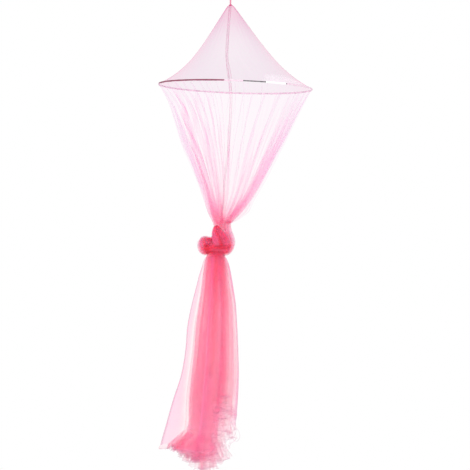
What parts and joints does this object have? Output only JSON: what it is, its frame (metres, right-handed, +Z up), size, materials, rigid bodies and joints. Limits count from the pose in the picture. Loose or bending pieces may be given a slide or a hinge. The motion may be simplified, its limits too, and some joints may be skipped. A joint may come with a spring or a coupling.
{
  "type": "mosquito net canopy with hoop",
  "caption": "Hanging bed net: pointed top over a wire hoop, sheer skirt gathered into an overhand knot, fluted tail with ruffled hem.",
  "frame": {"origin": "the point inside the top of the hanging loop where a hook bears", "axes": "+Z up along the hang, +X to the right and -Y to the front of the object as it hangs"},
  "size_m": [0.608, 0.6084, 1.8704],
  "materials": {
    "net": "sheer pink polyester net, hexagonal mesh",
    "loop_cord": "woven pink cord",
    "casing": "closely woven pink tape",
    "wire": "drawn spring steel",
    "joiner": "white moulded tube"
  },
  "bodies": {
    "root": {"hanging_loop": "loop_cord", "cone_net": "net", "hoop_wire": "wire", "hoop_joiner": "joiner", "hoop_sleeve": "casing", "skirt_net": "net"}
  },
  "joints": []
}
